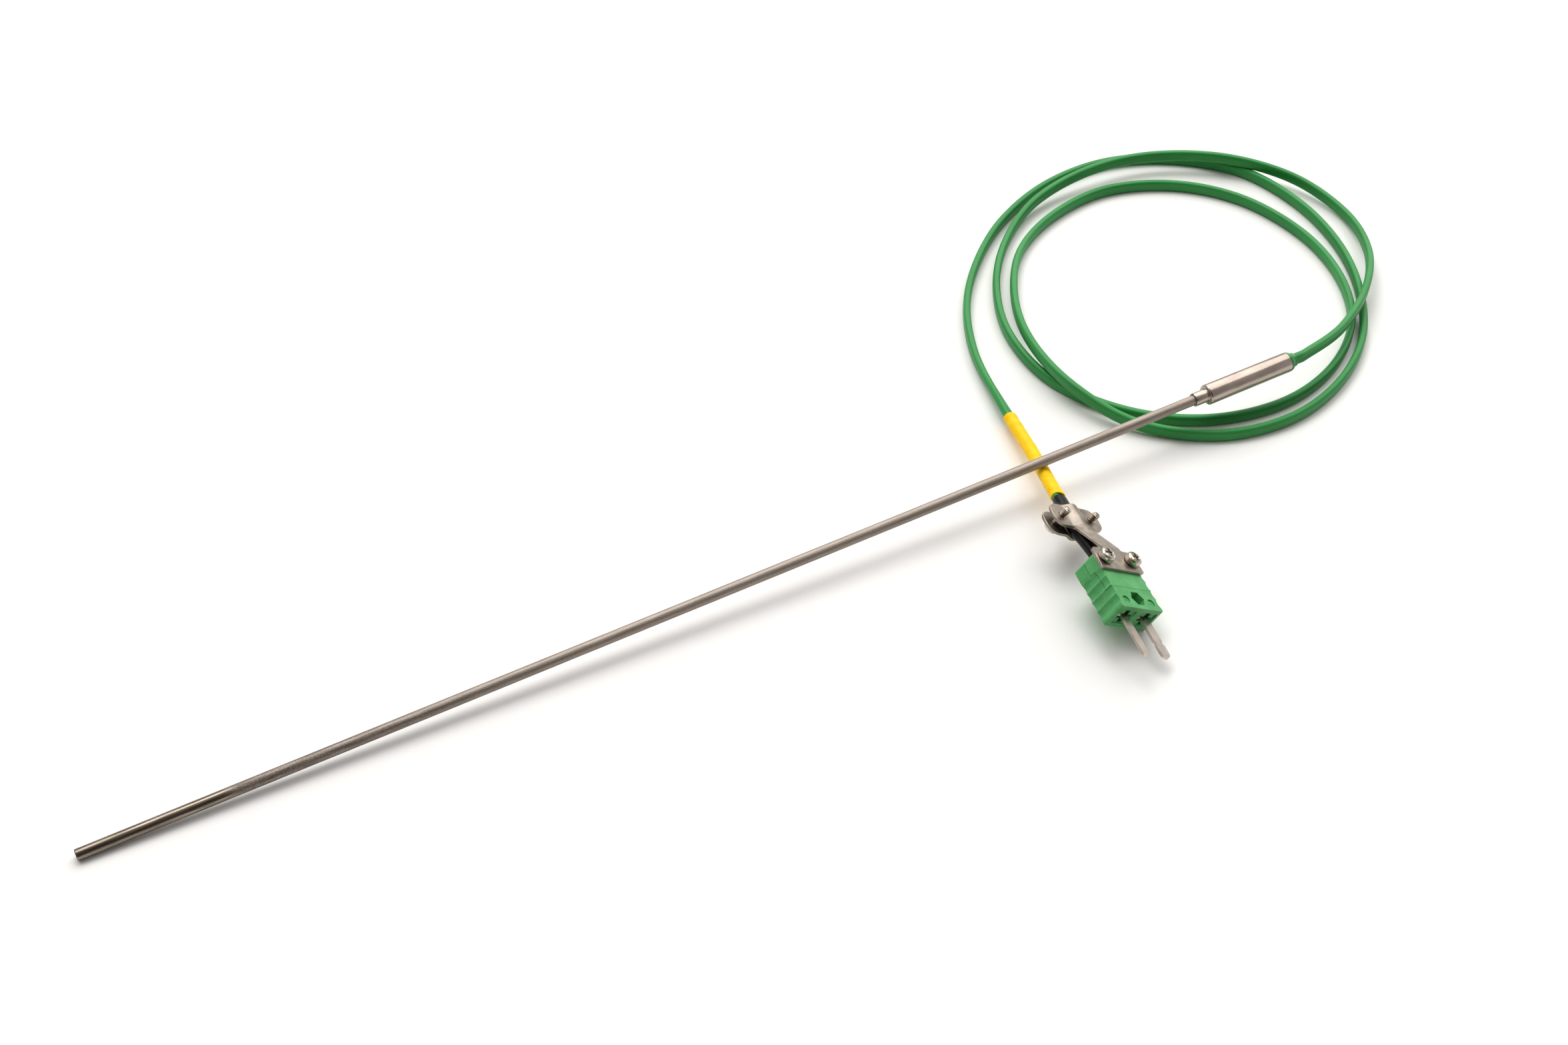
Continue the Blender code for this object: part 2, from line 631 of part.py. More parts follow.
def build_clamp(plug):
    front, back = JAW_Y
    wide, strap, round_end = JAW_HALF_WIDTH, STRAP_W / 2, EAR_CORNER
    right = [(8.25, -5.8, 0.6), (8.25, 1.4, 1.3), (strap, 1.4, 0.8), (strap, front, 0.8),
             (wide, front, round_end), (wide, back, round_end)]
    corners = right + [(-x, y, r) for x, y, r in reversed(right)]
    screw_holes = [circle(side * CLAMP_SCREW_X, CLAMP_Y, 1.28) for side in (-1, 1)]
    plate_holes = [circle(side * PLATE_SCREW[0], PLATE_SCREW[1], 1.25) for side in (-1, 1)]
    across = [HUMP_HALF_WIDTH * (i / 5 - 1) for i in range(11)]
    pressed_sheet("clamp_bracket", [rounded(corners), *screw_holes, *plate_holes],
                  (across, (STRAP_Y[0], STRAP_Y[1])), bracket_height, plug, STEEL_SATIN)
    ends = [(-wide, front, round_end), (wide, front, round_end), (wide, back, round_end),
            (-wide, back, round_end)]
    pressed_sheet("clamp_jaw", [rounded(ends), *screw_holes], (across, ()), jaw_height, plug,
                  STEEL_SATIN)


def thread_profile(radius, pitch, low, high):
    """V grooves from high down to low."""
    turns = round((high - low) / pitch)
    step = (high - low) / turns
    points = []
    for i in range(turns):
        points += [(radius, high - step * i), (radius - 0.55 * pitch, high - step * (i + 0.5))]
    return points


def cross_recess(name, parent, x, y, low, high, size=2.6):
    return [box(f"{name}_bar_x", (x - size / 2, x + size / 2), (y - 0.3, y + 0.3), (low, high), parent),
            box(f"{name}_bar_y", (x - 0.3, x + 0.3), (y - size / 2, y + size / 2), (low, high), parent)]


def build_clamp_screws(plug):
    """Two screws put in from below: heads under the loose jaw, ends standing past the upper jaw."""
    radius = CLAMP_SCREW_R
    under, end, head = LOWER_EAR_Z - CLAMP_T / 2 - 0.08, 3.35, 1.8
    profile = [(0, end), (radius - 0.25, end),
               *thread_profile(radius, CLAMP_SCREW_PITCH, under + 0.2, end - 0.25), (radius, under),
               (2.15, under), (2.3, under - 0.2), (2.25, under - 0.8), (1.9, under - 1.4),
               (1.3, under - head), (0, under - head)]
    for name, side in (("left", -1), ("right", 1)):
        x = side * CLAMP_SCREW_X
        pivot = empty(f"clamp_screw_axis_{name}", (x, CLAMP_Y, 0), (0, 0, 0))
        pivot.parent = plug
        screw = turned(f"clamp_screw_{name}", profile, 16, pivot, STEEL_BRIGHT)
        cut(screw, cross_recess(f"recess_low_{name}", pivot, 0, 0, under - head - 1, under - 0.8, 2.2))


def build_plate_screws(plug):
    """Pan head screws through bracket and cover into threaded inserts in the body."""
    seat = PLATE_Z + CLAMP_T / 2 + 0.08
    profile = [(0, seat + 2.15), (1.3, seat + 2.12), (1.9, seat + 2.0), (2.2, seat + 1.75),
               (2.3, seat + 1.4), (2.3, seat + 0.25), (2.1, seat), (1.0, seat), (1.0, -3.0),
               (0, -3.0)]
    for name, side in (("left", -1), ("right", 1)):
        x, y = side * PLATE_SCREW[0], PLATE_SCREW[1]
        screw = turned(f"plate_screw_{name}", profile, 28, plug, STEEL_BRIGHT, (x, y))
        cut(screw, cross_recess(f"recess_top_{name}", plug, x, y, seat + 1.2, seat + 3))
        turned(f"plate_insert_{name}", ring_profile(1.6, 1.12, -3.2, -0.35), 20, plug, BRASS, (x, y))


# ---------------------------------------------------------------- assembly

def build():
    span = SEAL_END * cos(PROBE_TILT)
    probe = empty("probe_axis", (-span / 2, 0, SHEATH_R), (0, pi / 2 - PROBE_TILT, 0))
    plug = empty("plug_frame", PLUG_ORIGIN, (PLUG_PITCH, PLUG_ROLL, PLUG_YAW), "YXZ")
    build_sheath(probe)
    build_insulation(probe)
    build_elements(probe)
    build_pot(probe)
    build_pot_filling(probe)
    build_rear_seal(probe)
    build_lead(probe, plug)
    build_plug(plug)
    build_terminals(plug)
    build_clamp(plug)
    build_clamp_screws(plug)
    build_plate_screws(plug)
    bpy.context.view_layer.update()


clear_scene()
PARTS = collection("thermocouple")
CUTTERS = collection("cutters")
STEEL_MATT = material("steel_matt", (0.42, 0.38, 0.34), 0.42, 1.0)
STEEL_BRIGHT = material("steel_bright", (0.55, 0.5, 0.45), 0.22, 1.0)
STEEL_SATIN = material("steel_satin", (0.5, 0.46, 0.42), 0.3, 1.0)
CHROMEL = material("chromel", (0.47, 0.41, 0.36), 0.3, 1.0)
ALUMEL = material("alumel", (0.47, 0.41, 0.36), 0.3, 1.0)
BRASS = material("brass", (0.65, 0.5, 0.25), 0.3, 1.0)
WELD = material("weld_bead", (0.35, 0.33, 0.31), 0.5, 1.0)
CRIMP = material("crimp_copper", (0.6, 0.42, 0.3), 0.35, 1.0)
MAGNESIA = material("magnesia", (0.8, 0.79, 0.75), 0.9, 0.0)
RESIN = material("resin", (0.09, 0.09, 0.1), 0.35, 0.0)
CORE_GREEN = material("core_green", (0.03, 0.3, 0.08), 0.4, 0.0)
CORE_WHITE = material("core_white", (0.8, 0.8, 0.76), 0.4, 0.0)
RUBBER_GREEN = material("rubber_green", (0.03, 0.26, 0.08), 0.45, 0.0)
CABLE_GREEN = material("cable_green", (0.04, 0.3, 0.09), 0.4, 0.0)
SLEEVE_YELLOW = material("sleeve_yellow", (0.85, 0.6, 0.0), 0.4, 0.0)
SLEEVE_BLACK = material("sleeve_black", (0.02, 0.02, 0.02), 0.45, 0.0)
PLUG_GREEN = material("plug_green", (0.08, 0.33, 0.12), 0.45, 0.0)
COVER_GREEN = material("cover_green", (0.09, 0.35, 0.13), 0.45, 0.0)
build()
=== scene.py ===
"""Looks of a mineral insulated thermocouple: probe, potted joint, flat twin lead, clamp and plug."""
from math import atan2, cos, pi, radians, sin
from random import Random

import bmesh
import bpy
from mathutils import Matrix, Vector


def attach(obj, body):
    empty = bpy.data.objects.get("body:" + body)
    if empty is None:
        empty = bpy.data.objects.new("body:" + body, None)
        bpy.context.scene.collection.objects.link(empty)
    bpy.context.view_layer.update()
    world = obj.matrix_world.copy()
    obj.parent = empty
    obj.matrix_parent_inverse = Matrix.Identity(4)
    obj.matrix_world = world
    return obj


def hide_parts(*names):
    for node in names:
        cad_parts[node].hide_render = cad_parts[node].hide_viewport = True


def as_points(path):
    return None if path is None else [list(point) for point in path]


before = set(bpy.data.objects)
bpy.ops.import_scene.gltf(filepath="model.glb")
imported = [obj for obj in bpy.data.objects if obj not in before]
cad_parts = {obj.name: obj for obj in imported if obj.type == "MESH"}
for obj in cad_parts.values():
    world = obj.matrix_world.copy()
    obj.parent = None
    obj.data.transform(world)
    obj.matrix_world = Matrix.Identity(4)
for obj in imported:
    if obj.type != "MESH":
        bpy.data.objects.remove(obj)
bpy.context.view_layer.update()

MM = 0.001
BODY = "probe_and_plug"

# The probe's axis: local Z runs from tip to pot, distances in millimetres from the tip
PROBE_TILT = radians(1.82)
SHEATH_R = 1.5
SHEATH_SHOWN = 324.3
NECK_BORE_R = 1.53
POT_R = 3.05
POT_END = 357.7
SEAL_END = 360.4
LEAD_START = 356.5
PROBE = (Matrix.Translation((-SEAL_END * cos(PROBE_TILT) / 2 * MM, 0, SHEATH_R * MM))
         @ Matrix.Rotation(pi / 2 - PROBE_TILT, 4, "Y"))

# The plug, in millimetres: local X across it, local Y away from its blades, local Z towards its top
PLUG = (Matrix.Translation((0.0847, -0.0410, 0.00958)) @ Matrix.Rotation(radians(-7.54), 4, "Z")
        @ Matrix.Rotation(radians(6.23), 4, "X") @ Matrix.Rotation(radians(32.26), 4, "Y"))
CLAMP_Y = 16.8
CLAMP_SCREW_X = 5.7
THREAD_R = 1.1
THREAD_ROOT_R = 0.86
THREAD_PITCH = 0.45
THREAD_TURNS = 14
THREAD_STEPS_PER_TURN = 24
HEAD_TOP = -3.58
PRESSED_EDGE = 0.12
STRAP_HALF_WIDTH = 5.0
STRAP_FRONT = 10.5
STRAP_BACK = 14.2
MARK_X = 4.9
MARK_Y = -15.8
MARK_Z = 3.58
FLASH_CRUMBS = 64
FLASH_LEFT = -7.8
FLASH_SPACING = 0.17
FLASH_Y = -18.42
FLASH_Z = -3.84
PLUG_BRASS = ("plate_insert_left", "plate_insert_right", "terminal_screw_positive",
              "terminal_screw_negative", "terminal_washer_positive", "terminal_washer_negative")
PLUG_CORES = ("plug_core_positive", "plug_core_negative")

# The flat twin lead, its half sizes and the sleeves on it, lengths from its end in the plug
LEAD_HALF = (1.85, 1.2)
LEAD_SIDES = 28
LEAD_STEP = 1.5
SLEEVE_SIDES = 24
SLEEVE_STEP = 0.7
SLEEVE_EDGE = 0.14
STRAIN_SLEEVE = (0.6, 29.8)
STRAIN_WALL = 0.36
MARKER_SLEEVE = (30.8, 72.4)
MARKER_WALL = 0.42
TWIST_START = MARKER_SLEEVE[1] - 12.0
TWIST_END = 112.0
LEAD_ROUTE = [
    (.186, .0012, .012), (.206, .0086, .0085), (.2265, .0215, .0064), (.2425, .0385, .0046),
    (.2515, .0605, .0024), (.2475, .083, .0039), (.232, .101, .0058), (.2105, .1135, .0058),
    (.187, .1165, .0056), (.1635, .1125, .0034), (.144, .0995, .0019), (.129, .081, .0019),
    (.12, .059, .0019), (.12, .035, .0019), (.1315, .0135, .0019), (.1505, -.0005, .0019),
    (.174, -.005, .0019), (.197, .0005, .0019), (.2165, .0145, .0019), (.2285, .0345, .0019),
    (.2325, .058, .0019), (.227, .0825, .0019), (.212, .1, .0019), (.19, .1085, .0019),
    (.1665, .105, .0019), (.146, .0935, .0019), (.1315, .0745, .0026), (.122, .0515, .0051),
    (.121, .0275, .0056), (.1305, .007, .0027), (.1495, -.0075, .0019), (.1725, -.0115, .0019),
    (.1955, -.0055, .0019), (.2155, .008, .0019), (.2305, .028, .0019), (.2395, .05, .0019),
    (.242, .0735, .0019), (.2365, .0965, .0019), (.22, .1135, .0019), (.198, .122, .0019),
    (.174, .1205, .0019), (.151, .111, .0019), (.132, .0965, .0019), (.1165, .0785, .0019),
    (.106, .057, .0019), (.1005, .0335, .0027), (.0959, .011, .0045), (.0902, -.0088, .0082),
]
LEAD_IN_PLUG = [(0, CLAMP_Y + 4.5, -1.25), (0, CLAMP_Y, -1.25), (0, CLAMP_Y - 4.5, -1.25),
                (0, 6, -0.45), (0, 1.5, 0), (0, -2.6, 0)]


def tint(red, green, blue):
    """A colour given as the eye sees it, from 0 to 255, as the shader's numbers."""
    parts = [v / 255 for v in (red, green, blue)]
    return tuple(v / 12.92 if v < 0.04045 else ((v + 0.055) / 1.055) ** 2.4 for v in parts) + (1.0,)


# ---------------------------------------------------------------- material helpers

class Value:
    """A number that varies over a surface; arithmetic on it adds Math nodes."""

    def __init__(self, look, socket):
        self.look = look
        self.socket = socket

    def maths(self, operation, first, second):
        return self.look.node("ShaderNodeMath", {"operation": operation}, {0: first, 1: second})

    def __add__(self, other):
        return self.maths("ADD", self, other)

    def __sub__(self, other):
        return self.maths("SUBTRACT", self, other)

    def __rsub__(self, other):
        return self.maths("SUBTRACT", other, self)

    def __mul__(self, other):
        return self.maths("MULTIPLY", self, other)

    __radd__ = __add__
    __rmul__ = __mul__


class Nodes:
    """Adds nodes to one node tree."""

    def __init__(self, tree):
        self.tree = tree

    def give(self, socket, value):
        if isinstance(value, Value):
            self.tree.links.new(value.socket, socket)
        else:
            socket.default_value = value

    def node(self, kind, settings, inputs, output=0):
        """Any node: its settings are set first, then the values or links of its sockets."""
        made = self.tree.nodes.new(kind)
        for name, value in settings.items():
            if name == "stops":
                for i, (place, colour) in enumerate(value):
                    stop = made.color_ramp.elements[i] if i < 2 else made.color_ramp.elements.new(place)
                    stop.position = place
                    stop.color = colour
            else:
                setattr(made, name, value)
        for key, value in inputs.items():
            self.give(made.inputs[key], value)
        return Value(self, made.outputs[output])


class Look(Nodes):
    """A material built from nodes round one Principled shader."""

    def __init__(self, name, **fixed):
        self.material = bpy.data.materials.new(name)
        self.material.use_nodes = True
        super().__init__(self.material.node_tree)
        self.shader = self.tree.nodes["Principled BSDF"]
        for socket, value in fixed.items():
            self.shader.inputs[socket.replace("_", " ")].default_value = value

    def place(self, matrix=None):
        """Object coordinates in metres, seen from a placement."""
        found = self.node("ShaderNodeTexCoord", {}, {}, "Object")
        if matrix:
            found = self.node("ShaderNodeMapping", {"vector_type": "TEXTURE"},
                              {"Vector": found, "Location": matrix.to_translation(),
                               "Rotation": matrix.to_euler("XYZ")})
        return found

    def lie(self, stretch):
        """A swept piece's own coordinates, two across it and one along it, then stretched."""
        found = self.node("ShaderNodeAttribute", {"attribute_name": "lie"}, {}, "Vector")
        return self.stretched(found, stretch)

    def stretched(self, vector, stretch):
        return self.node("ShaderNodeMapping", {}, {"Vector": vector, "Scale": stretch})

    def part(self, vector, axis):
        return self.node("ShaderNodeSeparateXYZ", {}, {0: vector}, axis)

    def noise(self, vector, scale, detail=3.0):
        return self.node("ShaderNodeTexNoise", {}, {"Vector": vector, "Scale": scale, "Detail": detail,
                                                   "Roughness": 0.55})

    def ramp(self, value, low, high, start=0.0, end=1.0):
        """The value's range from low to high drawn out to start and end, and held there."""
        return self.node("ShaderNodeMapRange", {}, {"Value": value, "From Min": low, "From Max": high,
                                                   "To Min": start, "To Max": end})

    def mix(self, share, first, second):
        return self.node("ShaderNodeMix", {"data_type": "RGBA"}, {0: share, 6: first, 7: second}, 2)

    def finish(self, colour, roughness, height=None, depth=0.0):
        """Join colour, roughness and a relief of the given depth in metres to the shader."""
        self.give(self.shader.inputs["Base Color"], colour)
        self.give(self.shader.inputs["Roughness"], roughness)
        if height is not None:
            bump = self.node("ShaderNodeBump", {}, {"Height": height, "Distance": depth,
                                                    "Strength": 1.0})
            self.give(self.shader.inputs["Normal"], bump)
        return self.material


# ---------------------------------------------------------------- finishes

def sheath_steel():
    """Matt annealed steel, speckled along its length; the tip end is smoother and darker."""
    look = Look("sheath_steel", Metallic=1.0)
    here = look.place(PROBE)
    streak = look.noise(look.stretched(here, (1, 1, 0.05)), 2600, 4)
    speck = look.noise(look.stretched(here, (1, 1, 0.35)), 7500, 3)
    patch = look.noise(look.stretched(here, (1, 1, 0.25)), 160, 2)
    tip = look.ramp(look.part(here, "Z") + patch * 0.004, 0.0415, 0.0375)
    grain = streak * 0.35 + speck * 0.65
    matt = look.mix(look.ramp(grain, 0.3, 0.7), tint(125, 115, 106), tint(179, 168, 157))
    heated = look.ramp(look.part(here, "Z"), 0.14, 0.045) * look.ramp(grain, 0.62, 0.42)
    matt = look.mix(heated * 0.75, matt, tint(84, 76, 70))
    drawn = look.mix(look.ramp(streak, 0.35, 0.65), tint(112, 102, 91), tint(152, 141, 127))
    colour = look.mix(tip, matt, drawn)
    roughness = (0.5 + look.ramp(speck, 0.3, 0.7, 0.0, 0.12)) * (1 - tip * 0.5)
    return look.finish(colour, roughness, grain * (1 - tip * 0.7), 0.00002)


def pot_steel():
    """Bright turned steel with faint rings and a few handling marks."""
    look = Look("pot_steel", Metallic=1.0)
    here = look.place(PROBE)
    ring = look.noise(look.stretched(here, (0.03, 0.03, 1)), 5200, 3)
    cloud = look.noise(look.stretched(here, (1, 1, 0.35)), 420, 3)
    mark = look.ramp(look.noise(look.stretched(here, (1, 1, 0.06)), 2400, 2), 0.62, 0.7)
    colour = look.mix(look.ramp(cloud, 0.3, 0.7), tint(160, 146, 136), tint(184, 170, 160))
    roughness = look.ramp(cloud, 0.3, 0.7, 0.2, 0.27) + mark * 0.12
    return look.finish(colour, roughness, ring * 0.7 + mark * 0.3, 0.0000028)


def sheet_steel():
    """Tumbled stainless sheet: a soft satin with fine grain, small scratches and darker clouds."""
    look = Look("clamp_sheet", Metallic=1.0)
    here = look.place(PLUG)
    cloud = look.noise(here, 380, 3)
    grain = look.noise(here, 5200, 2)
    scratch = look.ramp(look.noise(look.stretched(here, (1, 0.07, 1)), 2600, 2), 0.63, 0.7)
    colour = look.mix(look.ramp(cloud, 0.3, 0.72), tint(146, 135, 124), tint(182, 171, 159))
    roughness = look.ramp(cloud, 0.3, 0.7, 0.36, 0.46) + grain * 0.08 + scratch * 0.08
    return look.finish(colour, roughness, grain * 0.7 + scratch * 0.3, 0.000012)


def screw_steel():
    """Bright cold headed steel with a little dirt."""
    look = Look("bright_screw", Metallic=1.0)
    here = look.place(PLUG)
    cloud = look.noise(here, 700, 3)
    grain = look.noise(here, 6000, 2)
    colour = look.mix(look.ramp(cloud, 0.32, 0.7), tint(158, 146, 132), tint(226, 216, 204))
    return look.finish(colour, look.ramp(cloud, 0.3, 0.7, 0.14, 0.28), grain, 0.000004)


def blade_metal(name, dark, light):
    """Rolled alloy strip: a soft sheen with faint clouds and rolling marks along the blade."""
    look = Look(name, Metallic=1.0)
    here = look.place(PLUG)
    line = look.noise(look.stretched(here, (1, 0.03, 1)), 3600, 3)
    cloud = look.noise(here, 300, 3)
    colour = look.mix(look.ramp(cloud * 0.75 + line * 0.25, 0.3, 0.7), dark, light)
    return look.finish(colour, look.ramp(line, 0.3, 0.7, 0.3, 0.36), line, 0.0000006)


def jacket_plastic():
    """Soft green lead jacket: even colour, faint drawing lines and small scuffs along it."""
    look = Look("lead_jacket", Specular_IOR_Level=0.3)
    line = look.noise(look.lie((1, 1, 0.004)), 1500, 2)
    cloud = look.noise(look.lie((1, 1, 0.2)), 180, 3)
    fine = look.noise(look.lie((1, 1, 0.5)), 4200, 2)
    scuff = look.ramp(look.noise(look.lie((1, 1, 0.12)), 900, 3), 0.66, 0.76)
    colour = look.mix(look.ramp(cloud, 0.3, 0.7), tint(36, 132, 58), tint(49, 147, 71))
    colour = look.mix(scuff * 0.35, colour, tint(72, 156, 90))
    roughness = 0.38 + look.ramp(fine, 0.3, 0.7, 0.0, 0.08) + scuff * 0.12
    return look.finish(colour, roughness, line * 0.7 + fine * 0.3, 0.000012)


def seal_rubber():
    """Poured green seal with a glossy skin and slight waves."""
    look = Look("seal_rubber", IOR=1.5)
    here = look.place(PROBE)
    cloud = look.noise(here, 520, 3)
    colour = look.mix(look.ramp(cloud, 0.3, 0.7), tint(34, 118, 56), tint(62, 152, 80))
    return look.finish(colour, look.ramp(cloud, 0.3, 0.7, 0.18, 0.3), cloud, 0.00004)


def marker_plastic():
    """Yellow shrunk sleeve: even satin with faint smudges and shrinkage ripples."""
    look = Look("marker_sleeve_plastic", Specular_IOR_Level=0.18)
    smudge = look.ramp(look.noise(look.lie((1, 1, 0.6)), 620, 4), 0.6, 0.78)
    ripple = look.noise(look.lie((0.4, 0.4, 1)), 480, 2)
    fine = look.noise(look.lie((1, 1, 1)), 4800, 2)
    base = look.mix(look.ramp(ripple, 0.3, 0.7), tint(252, 196, 0), tint(255, 210, 0))
    colour = look.mix(smudge * 0.4, base, tint(206, 142, 6))
    return look.finish(colour, 0.42 + fine * 0.1, ripple * 0.8 + fine * 0.2, 0.00003)


def strain_plastic():
    """Black shrunk sleeve, satin with fine shrinkage lines."""
    look = Look("strain_sleeve_plastic", Specular_IOR_Level=0.2)
    ripple = look.noise(look.lie((1, 1, 0.3)), 700, 3)
    fine = look.noise(look.lie((1, 1, 1)), 5200, 2)
    colour = look.mix(look.ramp(ripple, 0.3, 0.7), tint(9, 9, 9), tint(20, 20, 20))
    return look.finish(colour, 0.3 + fine * 0.14, ripple * 0.6 + fine * 0.4, 0.00002)


def moulded_plastic(name, deep, pale):
    """Glass filled green moulding: speckled skin, flow marks and small scuffs."""
    look = Look(name, IOR=1.5)
    here = look.place(PLUG)
    cloud = look.noise(here, 260, 3)
    speck = look.noise(here, 3400, 3)
    scratch = look.ramp(look.noise(look.stretched(here, (0.12, 1, 1)), 1900, 2), 0.64, 0.72)
    flow = look.noise(look.stretched(here, (0.5, 1, 1)), 900, 3)
    colour = look.mix(look.ramp(cloud * 0.6 + speck * 0.4, 0.36, 0.64), deep, pale)
    colour = look.mix(scratch * 0.3, colour, tint(128, 196, 136))
    roughness = 0.36 + speck * 0.1 + scratch * 0.14
    return look.finish(colour, roughness, speck * 0.45 + flow * 0.4 + scratch * 0.15, 0.000016)


def plain_finish(name, dark, light, scale, roughness, depth, metallic=0.0):
    """Inner pieces: a grained colour with its own relief."""
    look = Look(name, Metallic=metallic)
    here = look.place()
    cloud = look.noise(here, scale, 4)
    fine = look.noise(here, scale * 6, 2)
    colour = look.mix(look.ramp(cloud, 0.3, 0.7), dark, light)
    return look.finish(colour, roughness + fine * 0.12, cloud * 0.5 + fine * 0.5, depth)


# ---------------------------------------------------------------- shape helpers

def piece(name, work, look, body, slot, stands_for=(), sharp=32.0):
    """Link the finished shape as a piece that rides on a body and stands for CAD nodes."""
    mesh = bpy.data.meshes.new(name)
    work.to_mesh(mesh)
    work.free()
    mesh.materials.clear()
    mesh.materials.append(look)
    for face in mesh.polygons:
        face.use_smooth = True
    mesh.set_sharp_from_angle(angle=radians(sharp))
    obj = bpy.data.objects.new(name, mesh)
    bpy.context.scene.collection.objects.link(obj)
    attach(obj, body)
    if stands_for:
        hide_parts(*stands_for)
    return obj


def joined(*parts):
    """Several shapes as one."""
    whole = bmesh.new()
    for part in parts:
        mesh = bpy.data.meshes.new("joining")
        part.to_mesh(mesh)
        part.free()
        whole.from_mesh(mesh)
        bpy.data.meshes.remove(mesh)
    return whole


def turned(profile, steps):
    """Turn (radius, height) pairs about local Z; a profile clear of the axis closes on itself."""
    work = bmesh.new()
    verts = [work.verts.new((r * MM, 0, h * MM)) for r, h in profile]
    edges = [work.edges.new(pair) for pair in zip(verts, verts[1:])]
    if profile[0][0] > 0:
        edges.append(work.edges.new((verts[-1], verts[0])))
    bmesh.ops.spin(work, geom=verts + edges, cent=(0, 0, 0), axis=(0, 0, 1), dvec=(0, 0, 0),
                   angle=2 * pi, steps=steps, use_merge=True)
    bmesh.ops.remove_doubles(work, verts=work.verts, dist=0.0000002)
    bmesh.ops.recalc_face_normals(work, faces=work.faces)
    return work


def arc(across, along, radius, start, stop, count=5):
    """Part of a profile: a round edge between two angles, 0 pointing outwards and 90 upwards."""
    turns = [radians(start + (stop - start) * i / count) for i in range(count + 1)]
    return [(across + radius * cos(t), along + radius * sin(t)) for t in turns]


def placed(work, matrix):
    bmesh.ops.transform(work, matrix=matrix, verts=work.verts)
    return work


def eased(obj):
    """Round a pressed piece's sharp edges, but not short ones or those where the strap leaves it."""
    work = bmesh.new()
    work.from_mesh(obj.data)
    weight = work.edges.layers.float.new("bevel_weight_edge")
    to_plug = PLUG.inverted()
    for edge in work.edges:
        middle = to_plug @ ((edge.verts[0].co + edge.verts[1].co) / 2) / MM
        at_strap = abs(middle.x) < STRAP_HALF_WIDTH and STRAP_FRONT < middle.y < STRAP_BACK
        sharp = edge.calc_face_angle(0) > radians(38)
        if sharp and edge.calc_length() > 0.45 * MM and not at_strap:
            edge[weight] = 1.0
    work.to_mesh(obj.data)
    work.free()
    modifier = obj.modifiers.new("eased_edges", "BEVEL")
    modifier.width = PRESSED_EDGE * MM
    modifier.segments = 2
    modifier.limit_method = "WEIGHT"
    modifier.use_clamp_overlap = False


def merged_copy(node):
    """A CAD node's shape with its triangles merged and its flat areas made whole."""
    work = bmesh.new()
    work.from_mesh(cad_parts[node].data)
    bmesh.ops.remove_doubles(work, verts=work.verts, dist=0.000003)
    bmesh.ops.dissolve_limit(work, angle_limit=radians(1.0), use_dissolve_boundaries=False,
                             verts=work.verts, edges=work.edges, delimit={"NORMAL"})
    return work


# ---------------------------------------------------------------- lead helpers

def smooth_points(corners, per_span):
    """A smooth curve through the corners."""
    ends = [corners[0] * 2 - corners[1], *corners, corners[-1] * 2 - corners[-2]]
    points = []
    for i in range(1, len(ends) - 2):
        a, b, c, d = ends[i - 1:i + 3]
        for j in range(per_span):
            t = j / per_span
            points.append((b * 2 + (c - a) * t + (a * 2 - b * 5 + c * 4 - d) * t * t
                           + (b * 3 - a - c * 3 + d) * t ** 3) / 2)
    points.append(corners[-1])
    return points


def lead_line():
    """The lead's line from its end in the plug to its end in the pot."""
    out = [PROBE @ Vector((0, 0, h * MM)) for h in (LEAD_START, SEAL_END + 1.0)]
    into = [PLUG @ (Vector(p) * MM) for p in LEAD_IN_PLUG]
    line = smooth_points(out + [Vector(p) for p in LEAD_ROUTE] + into, 12)
    line.reverse()
    return line


def walk(line, start, stop, step):
    """Evenly spaced stations (distance, point) on the line, in metres."""
    count = max(2, round((stop - start) / step))
    wanted = [start + (stop - start) * i / count for i in range(count + 1)]
    found, walked, index = [], 0.0, 0
    for length in wanted:
        while index < len(line) - 2 and walked + (line[index + 1] - line[index]).length < length:
            walked += (line[index + 1] - line[index]).length
            index += 1
        step_here = line[index + 1] - line[index]
        found.append((length, line[index] + step_here * ((length - walked) / step_here.length)))
    return found


def ease(share):
    share = min(max(share, 0.0), 1.0)
    return share * share * (3 - 2 * share)


def lead_axes(stations):
    """At each station, the lead's wide and thin directions: flat in the clamp, on edge in the coil."""
    across_plug = PLUG.to_3x3() @ Vector((1, 0, 0))
    axes = []
    for i, (length, point) in enumerate(stations):
        after = stations[min(i + 1, len(stations) - 1)][1]
        before = stations[max(i - 1, 0)][1]
        ahead = (after - before).normalized()
        up = (Vector((0, 0, 1)) - ahead * ahead.z).normalized()
        side = ahead.cross(up)
        flat = atan2(across_plug.dot(side), across_plug.dot(up))
        if flat > pi / 2:
            flat -= pi
        if flat < -pi / 2:
            flat += pi
        turn = flat * (1 - ease((length / MM - TWIST_START) / (TWIST_END - TWIST_START)))
        wide = up * cos(turn) + side * sin(turn)
        axes.append((wide, ahead.cross(wide)))
    return axes


def oval(half_wide, half_thin, sides, fullness):
    """Section of a flattened round; fullness 2 is an ellipse and more is squarer."""
    points = []
    for i in range(sides):
        turn = 2 * pi * i / sides
        across, up = cos(turn), sin(turn)
        points.append((half_wide * abs(across) ** (2 / fullness) * (1 if across >= 0 else -1),
                       half_thin * abs(up) ** (2 / fullness) * (1 if up >= 0 else -1)))
    return points


